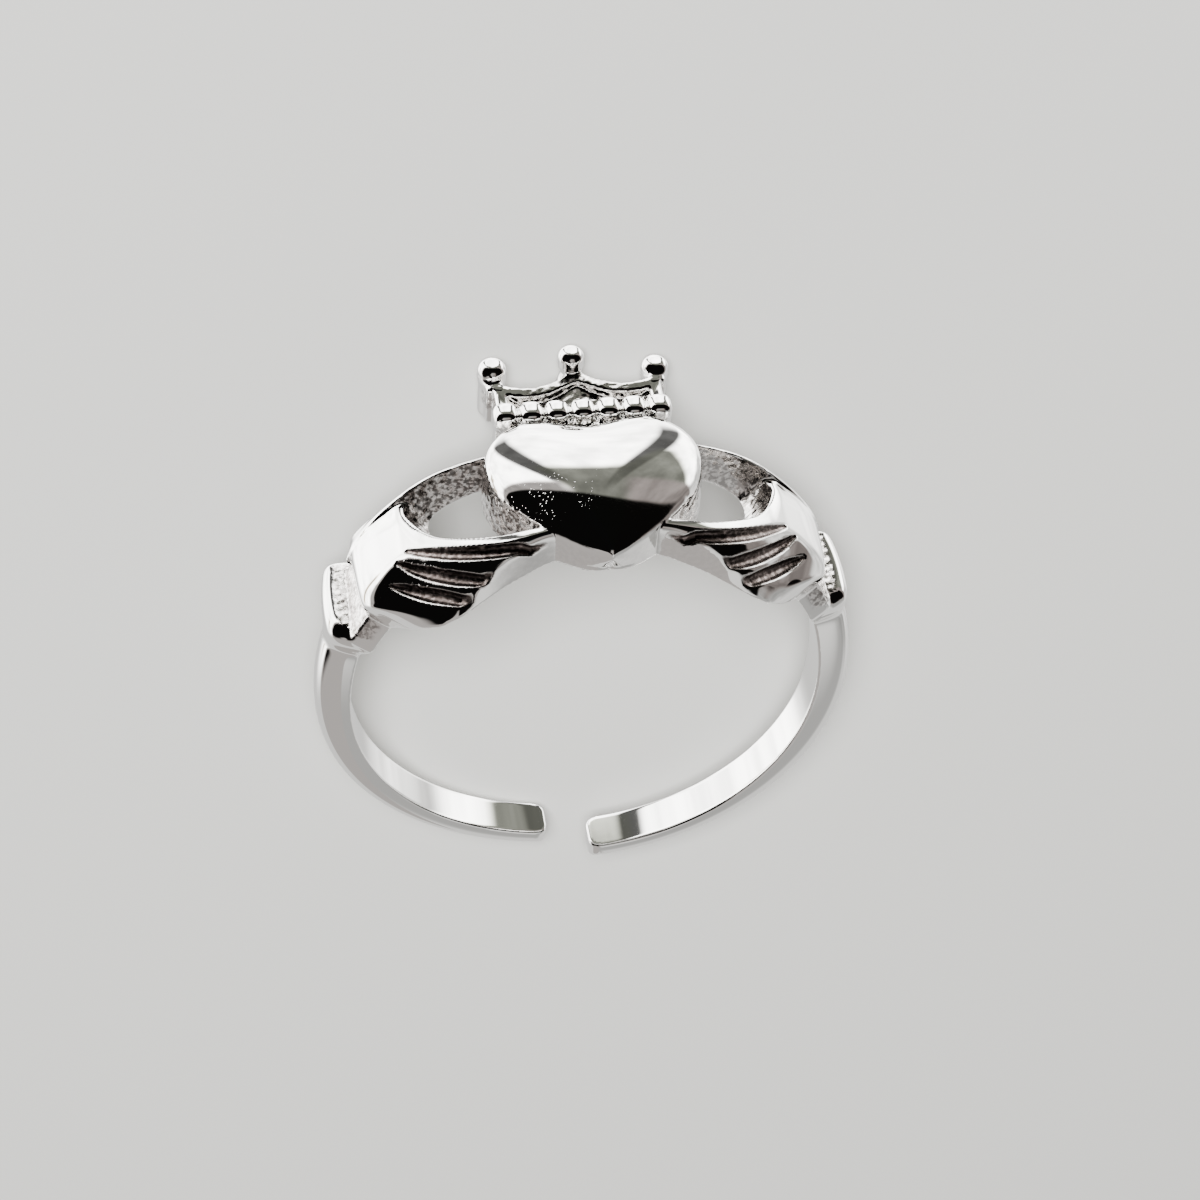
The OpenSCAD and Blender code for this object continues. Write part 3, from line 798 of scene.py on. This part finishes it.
def build_ring():
    """The casting as one mesh, laid down and scaled, with its finish as attributes."""
    step = 0.08
    # angle round the ring, place along the finger, radius
    axes = (
        grid_line((-178, -166, 0.6), (-166, -78, 1.2), (-78, 78, 0.5), (78, 166, 1.2),
                  (166, 178, 0.6)),
        grid_line((-3.6, -3.2, step), (-3.2, 0.4, 0.068), (0.4, 7.2, 0.084)),
        grid_line((8.2, 11.0, step)),
    )
    verts, quads = surface(axes, reach=0.85)
    verts, normal = settle(verts, step)
    cast, groove, pitted, grained = finish_masks(verts, normal)
    verts, normal = roughen(verts, normal, GRAIN_H * grained)
    turn = np.array(LAY)
    mesh = bpy.data.meshes.new("silver_casting")
    mesh.from_pydata((verts @ turn.T * MM).tolist(), [], quads.tolist())
    mesh.update()
    mesh.polygons.foreach_set("use_smooth", [True] * len(mesh.polygons))
    mesh.normals_split_custom_set_from_vertices((normal @ turn.T).tolist())
    for name, mask in (("as_cast", cast), ("tarnish", groove), ("pitted", pitted)):
        layer = mesh.attributes.new(name, "FLOAT", "POINT")
        layer.data.foreach_set("value", mask.astype(np.float32))
    obj = bpy.data.objects.new("silver_casting", mesh)
    bpy.context.scene.collection.objects.link(obj)
    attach(obj, "root")
    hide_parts("ring")
    return obj


# Materials


class Graph:
    """Short hand for a node tree: numbers and sockets are combined by math nodes."""

    def __init__(self, tree):
        self.tree = tree

    def add(self, kind, **settings):
        """A new node with its settings."""
        n = self.tree.nodes.new(kind)
        for k, v in settings.items():
            setattr(n, k, v)
        return n

    def put(self, value, socket):
        """Links a socket's value to an input, or sets the input to a number."""
        if isinstance(value, bpy.types.NodeSocket):
            self.tree.links.new(value, socket)
        else:
            socket.default_value = value

    def math(self, operation, *values):
        """The result of one math node."""
        n = self.add("ShaderNodeMath", operation=operation)
        for v, socket in zip(values, n.inputs):
            self.put(v, socket)
        return n.outputs[0]

    def minus(self, a, b):
        return self.math("SUBTRACT", a, b)

    def product(self, first, *others):
        """All the values multiplied."""
        for other in others:
            first = self.math("MULTIPLY", first, other)
        return first

    def ramp(self, value, lo, hi, out_lo=0.0, out_hi=1.0):
        """Smooth step of a value from lo to hi."""
        n = self.add("ShaderNodeMapRange", interpolation_type="SMOOTHSTEP")
        for v, socket in zip((value, lo, hi, out_lo, out_hi), n.inputs):
            self.put(v, socket)
        return n.outputs[0]

    def fall(self, value, lo, hi):
        """Smooth step down, from 1 at lo to 0 at hi."""
        return self.ramp(value, lo, hi, 1, 0)

    def mix(self, share, a, b):
        """Mixes two numbers by a share."""
        n = self.add("ShaderNodeMix")
        for v, socket in zip((share, a, b), (n.inputs[0], n.inputs[2], n.inputs[3])):
            self.put(v, socket)
        return n.outputs[0]

    def tint(self, share, a, b):
        """Mixes two colours by a share."""
        n = self.add("ShaderNodeMix", data_type="RGBA")
        for v, socket in zip((share, a, b), (n.inputs[0], n.inputs[6], n.inputs[7])):
            self.put(v, socket)
        return n.outputs[2]


# Colours of the silver: polished, as cast, in specks of dirt, and dark and pale in the grooves
POLISHED, AS_CAST = (0.91, 0.905, 0.89, 1), (0.74, 0.70, 0.68, 1)
DIRT = (0.07, 0.06, 0.055, 1)
TARNISH_DARK, TARNISH_PALE = (0.08, 0.065, 0.06, 1), (0.24, 0.20, 0.19, 1)
# Roughness in the grooves
TARNISH_ROUGH = 0.32


def silver():
    """Polished silver: darker and grained where it was left as cast, tarnished in grooves."""
    m = bpy.data.materials.new("silver")
    m.use_nodes = True
    g = Graph(m.node_tree)
    shader = m.node_tree.nodes["Principled BSDF"]
    shader.inputs["Metallic"].default_value = 1.0
    cast, tarnish, pitted = (
        g.add("ShaderNodeAttribute", attribute_name=name).outputs["Fac"]
        for name in ("as_cast", "tarnish", "pitted")
    )
    # places in millimetres
    place = g.add("ShaderNodeMapping")
    place.inputs["Scale"].default_value = (1 / MM, 1 / MM, 1 / MM)
    g.put(g.add("ShaderNodeTexCoord").outputs["Object"], place.inputs["Vector"])
    place = place.outputs[0]

    def noise(scale, detail, vector=place):
        """Noise with about this many lumps a millimetre."""
        n = g.add("ShaderNodeTexNoise")
        g.put(vector, n.inputs["Vector"])
        n.inputs["Scale"].default_value = scale
        n.inputs["Detail"].default_value = detail
        return n.outputs["Fac"]

    # fine scratches from the polishing wheel, and specks of dirt in the cast skin
    brushed = g.add("ShaderNodeMapping")
    brushed.inputs["Scale"].default_value = (2, 22, 9)
    brushed.inputs["Rotation"].default_value = (0.2, 0.1, 0.5)
    g.put(place, brushed.inputs["Vector"])
    scratch = noise(1.0, 4.0, brushed.outputs[0])
    wear = noise(0.5, 3.0)
    specks = noise(6.5, 4.0)
    worn = g.ramp(wear, 0.3, 0.7, 0.02, 0.045)
    polish = g.math("MULTIPLY_ADD", g.ramp(scratch, 0.5, 0.8), 0.02, worn)
    rough = g.mix(cast, polish, g.ramp(specks, 0.35, 0.65, 0.12, 0.30))
    g.put(g.mix(tarnish, rough, TARNISH_ROUGH), shader.inputs["Roughness"])

    dirt = g.product(cast, g.fall(specks, 0.42, 0.60), 0.9)
    colour = g.tint(dirt, g.tint(cast, POLISHED, AS_CAST), DIRT)
    tarnished = g.tint(g.ramp(specks, 0.45, 0.65), TARNISH_DARK, TARNISH_PALE)
    g.put(g.tint(tarnish, colour, tarnished), shader.inputs["Base Color"])

    # small pits, the cast skin's grit and the polish's slight waves
    cells = g.add("ShaderNodeTexVoronoi")
    g.put(place, cells.inputs["Vector"])
    cells.inputs["Scale"].default_value = 9.0
    size = g.product(g.ramp(noise(1.4, 1.0), 0.36, 0.56), g.product(pitted, 0.28))
    pits = g.ramp(g.minus(cells.outputs["Distance"], size), -0.10, 0.0)
    grit = g.product(cast, 0.55)
    height = g.math("MULTIPLY_ADD", noise(8.0, 3.0), grit, g.product(pits, 0.08))
    height = g.math("MULTIPLY_ADD", wear, 0.04, height)
    bump = g.add("ShaderNodeBump")
    bump.inputs["Distance"].default_value = 0.03 * MM
    g.put(height, bump.inputs["Height"])
    g.put(bump.outputs["Normal"], shader.inputs["Normal"])
    return m


def paper(name, colour):
    """A plain matt material."""
    m = bpy.data.materials.new(name)
    m.use_nodes = True
    shader = m.node_tree.nodes["Principled BSDF"]
    shader.inputs["Base Color"].default_value = (*colour, 1)
    shader.inputs["Roughness"].default_value = 0.9
    shader.inputs["Specular IOR Level"].default_value = 0.1
    return m


ring_object = build_ring()
ring_object.data.materials.append(silver())

# Floor

FLOOR_COLOUR = (0.70, 0.70, 0.67)
floor_z = cad_box[0].z
bpy.ops.mesh.primitive_plane_add(size=2, location=(0, 0, floor_z))
floor = bpy.context.object
floor.name = "floor"
floor.data.materials.append(paper("floor", FLOOR_COLOUR))

# Camera, fitted to the photograph in the ring's upright frame: angles in degrees, distance
# and target in millimetres, the focal length in pixels of a picture this wide

AZIMUTH, ELEVATION, ROLL = map(math.radians, (-12.06, 46.78, 4.85))
DISTANCE, FOCAL_PX, IMAGE_PX = 104.2, 2800.0, 1200.0
TARGET = Vector((1.14, 3.81, 0.0))
SENSOR = 36.0


def photo_camera():
    """The photograph's camera, laid down with the ring."""
    back = Vector((
        math.sin(AZIMUTH) * math.cos(ELEVATION),
        -math.cos(AZIMUTH) * math.cos(ELEVATION),
        math.sin(ELEVATION),
    ))
    right = Vector((math.cos(AZIMUTH), math.sin(AZIMUTH), 0))
    up = back.cross(right)
    c, s = math.cos(ROLL), math.sin(ROLL)
    right, up = right * c + up * s, up * c - right * s
    turn = Matrix((right, up, back)).transposed()
    data = bpy.data.cameras.new("camera")
    data.sensor_width = SENSOR
    data.lens = FOCAL_PX / IMAGE_PX * SENSOR
    data.clip_start, data.clip_end = 0.001, 10
    cam = bpy.data.objects.new("camera", data)
    bpy.context.scene.collection.objects.link(cam)
    place = LAY @ (TARGET + back * DISTANCE) * MM
    cam.matrix_world = Matrix.Translation(place) @ (LAY @ turn).to_4x4()
    bpy.context.scene.camera = cam


photo_camera()

# Light

# Brightness of the room: below in front and on the left, below and beyond the ring, above, in
# the folds beside the wedge, along the ceiling's edge, in the warm reflection, and of the dark
# ceiling
BELOW, BELOW_BEYOND, ABOVE = 7.5, 1.5, 0.42
FOLD, EDGE_LINE, WARM, CEILING = 0.15, 0.55, 1.3, 0.004
# Tints of its light
DAYLIGHT, GREENISH = (1.0, 0.99, 0.965, 1), (0.98, 1.0, 0.86, 1)
ROSY, AMBER = (1.0, 0.88, 0.83, 1), (1.0, 0.86, 0.66, 1)


def studio():
    """A softly lit room: bright below and in front, with a dark ceiling over the heart. All
    its limits are degrees to the side of +Y or above the horizon."""
    w = bpy.data.worlds.new("studio")
    bpy.context.scene.world = w
    w.use_nodes = True
    g = Graph(w.node_tree)
    spot = g.add("ShaderNodeTexCoord").outputs["Generated"]
    part = g.add("ShaderNodeSeparateXYZ")
    g.put(spot, part.inputs[0])
    x, y, z = part.outputs
    side = g.math("DEGREES", g.math("ARCTAN2", x, y))
    up = g.math("DEGREES", g.math("ARCSINE", z))

    def past_line(slope, at):
        """Degrees to the right of a line that leans by a slope from a place on the horizon."""
        return g.minus(side, g.math("MULTIPLY_ADD", up, slope, at))

    def near_height(at, inner, outer):
        """1 up to the inner distance from a height, 0 beyond the outer one."""
        return g.fall(g.math("ABSOLUTE", g.minus(up, at)), inner, outer)

    # bright from below, grey from above and from beyond the ring as the camera sees it
    beyond = g.ramp(g.math("ABSOLUTE", side), 104, 140)
    front = g.mix(g.ramp(side, 62, 76), BELOW, g.ramp(up, -46, -36, 3.0, 1.3))
    light = g.mix(g.fall(up, -10, -2), ABOVE, g.mix(beyond, front, BELOW_BEYOND))
    back = g.mix(g.ramp(up, 28, 50), g.ramp(up, 4, 16, 1.0, 0.52), 1.15)
    light = g.mix(g.product(beyond, g.fall(up, 60, 78)), light, back)

    # a greenish grey wedge between two folds that run down and outwards
    from_left, from_right = past_line(0.46, -6.0), past_line(-0.74, 6.0)
    lowest = g.ramp(side, 16, 34, -22, -33)
    wedge = g.product(g.ramp(from_left, -3, 2), g.fall(past_line(0.7, 62.0), -4, 4),
                      g.ramp(g.minus(up, lowest), -2.5, 2.5))
    light = g.mix(wedge, light, g.ramp(up, -22, -10, 0.36, 0.26))
    for off, widening in ((from_left, -0.17), (from_right, -0.15)):
        half = g.math("MULTIPLY_ADD", up, widening, 1.5)
        across = g.math("DIVIDE", g.math("ABSOLUTE", off), half)
        fold = g.product(g.fall(across, 0.6, 1.3), g.ramp(up, -68, -52), g.fall(up, -12, -5))
        light = g.mix(fold, light, FOLD)

    # a rosy grey patch on the right, and a pale line along the ceiling's edge on the left;
    # the edge rises on both sides
    edge = g.math("ADD", g.ramp(side, -10, 80, -3, 9), g.ramp(side, -70, -25, 5, 0))
    above = g.minus(up, edge)
    rosy = g.product(g.ramp(above, -15, -11), g.ramp(side, 16, 26), g.fall(side, 96, 112))
    light = g.mix(rosy, light, g.ramp(side, 55, 80, 0.40, 0.28))
    line = g.product(g.ramp(above, -9, -5), g.fall(side, -14, -4))
    light = g.mix(line, light, EDGE_LINE)

    # a warm reflection low on the left
    warm = g.product(g.ramp(side, -122, -110), g.fall(side, -76, -66), near_height(-29, 2, 5))
    light = g.mix(warm, light, WARM)

    # nothing in front is quite even
    stir = g.add("ShaderNodeTexNoise")
    g.put(spot, stir.inputs["Vector"])
    stir.inputs["Scale"].default_value = 5
    stir.inputs["Detail"].default_value = 4
    stirred = g.ramp(stir.outputs["Fac"], 0.3, 0.7, 0.72, 1.3)
    light = g.product(light, g.mix(beyond, stirred, 1.0))

    # the dark ceiling, and its part overhead on the left
    reach = g.mix(g.ramp(side, -30, -10), g.ramp(side, -118, -98, 34, 70),
                  g.ramp(side, 40, 60, 60, 66))
    past = g.minus(side, g.ramp(up, 18, 40, 0, 22))
    dark = g.product(g.ramp(above, -1.0, 1.0), g.fall(g.minus(up, reach), -5, 5),
                     g.ramp(side, -132, -116), g.fall(past, 88, 104))
    over = g.product(g.ramp(side, -168, -152), g.fall(side, -80, -66), near_height(67, 8, 13))
    light = g.mix(g.math("MAXIMUM", dark, over), light, CEILING)

    shade = w.node_tree.nodes["Background"]
    g.put(light, shade.inputs["Strength"])
    colour = g.tint(wedge, DAYLIGHT, GREENISH)
    colour = g.tint(g.math("MAXIMUM", rosy, g.product(line, 0.5)), colour, ROSY)
    g.put(g.tint(warm, colour, AMBER), shade.inputs["Color"])


studio()


def soft_light(name, place, aim, size, power):
    """A square lamp that the silver doesn't mirror."""
    data = bpy.data.lights.new(name, "AREA")
    data.shape, data.size, data.energy = "SQUARE", size, power
    lamp = bpy.data.objects.new(name, data)
    lamp.location = place
    lamp.rotation_euler = (Vector(aim) - Vector(place)).to_track_quat("-Z", "Y").to_euler()
    lamp.visible_glossy = False
    bpy.context.scene.collection.objects.link(lamp)


# Place and size in metres, power in watts
KEY_PLACE, KEY_SIZE, KEY_POWER = (-0.06, 0.15, 0.26), 0.13, 2.05
soft_light("key", KEY_PLACE, (0, 0, 0), KEY_SIZE, KEY_POWER)
# the silver mirrors the room alone, and not the floor
floor.visible_glossy = False
